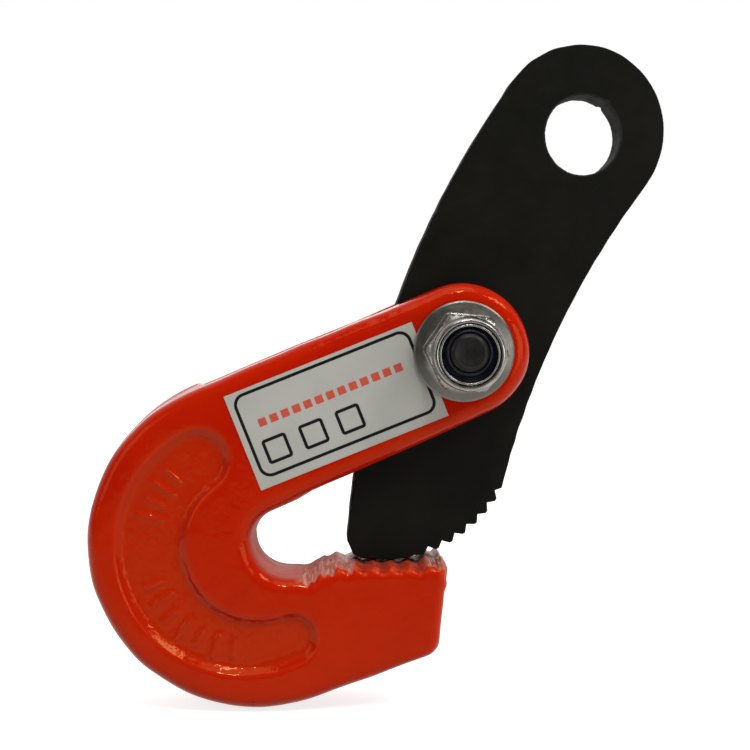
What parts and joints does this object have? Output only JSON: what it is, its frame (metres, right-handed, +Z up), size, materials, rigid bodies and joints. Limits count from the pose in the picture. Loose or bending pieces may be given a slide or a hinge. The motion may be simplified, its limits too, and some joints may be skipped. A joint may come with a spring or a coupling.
{
  "type": "plate lifting clamp",
  "caption": "Forged hook clamp for lifting steel plate, with a toothed jaw and a toothed cam lever with a lifting eye on a pivot bolt.",
  "frame": {"origin": "centre of the lifting eye, midway through the lever's thickness", "axes": "+Z up as the clamp hangs with its jaw level, +X from the hook's back to its mouth, +Y along the pivot bolt from the nut to the bolt's head"},
  "size_m": [0.1503, 0.0575, 0.1731],
  "materials": {
    "orange_paint": "gloss",
    "black_plate": "satin",
    "dark_bolt": "black oxide, satin",
    "zinc": "zinc plated",
    "nylon": "matt",
    "label_paper": "matt"
  },
  "bodies": {
    "clamp_body": {"clamp_body": "orange_paint", "pivot_bolt": "dark_bolt", "lock_nut": "zinc", "lock_ring": "nylon", "head_washer": "zinc", "inspection_label": "label_paper"},
    "lever": {"cam_lever": "black_plate"}
  },
  "joints": [
    {"name": "lever_pivot", "type": "hinge", "parent": "clamp_body", "child": "lever", "pos_m": [-0.032, 0, -0.0566], "axis": [0, 1, 0], "range_deg": [0, 130]}
  ]
}
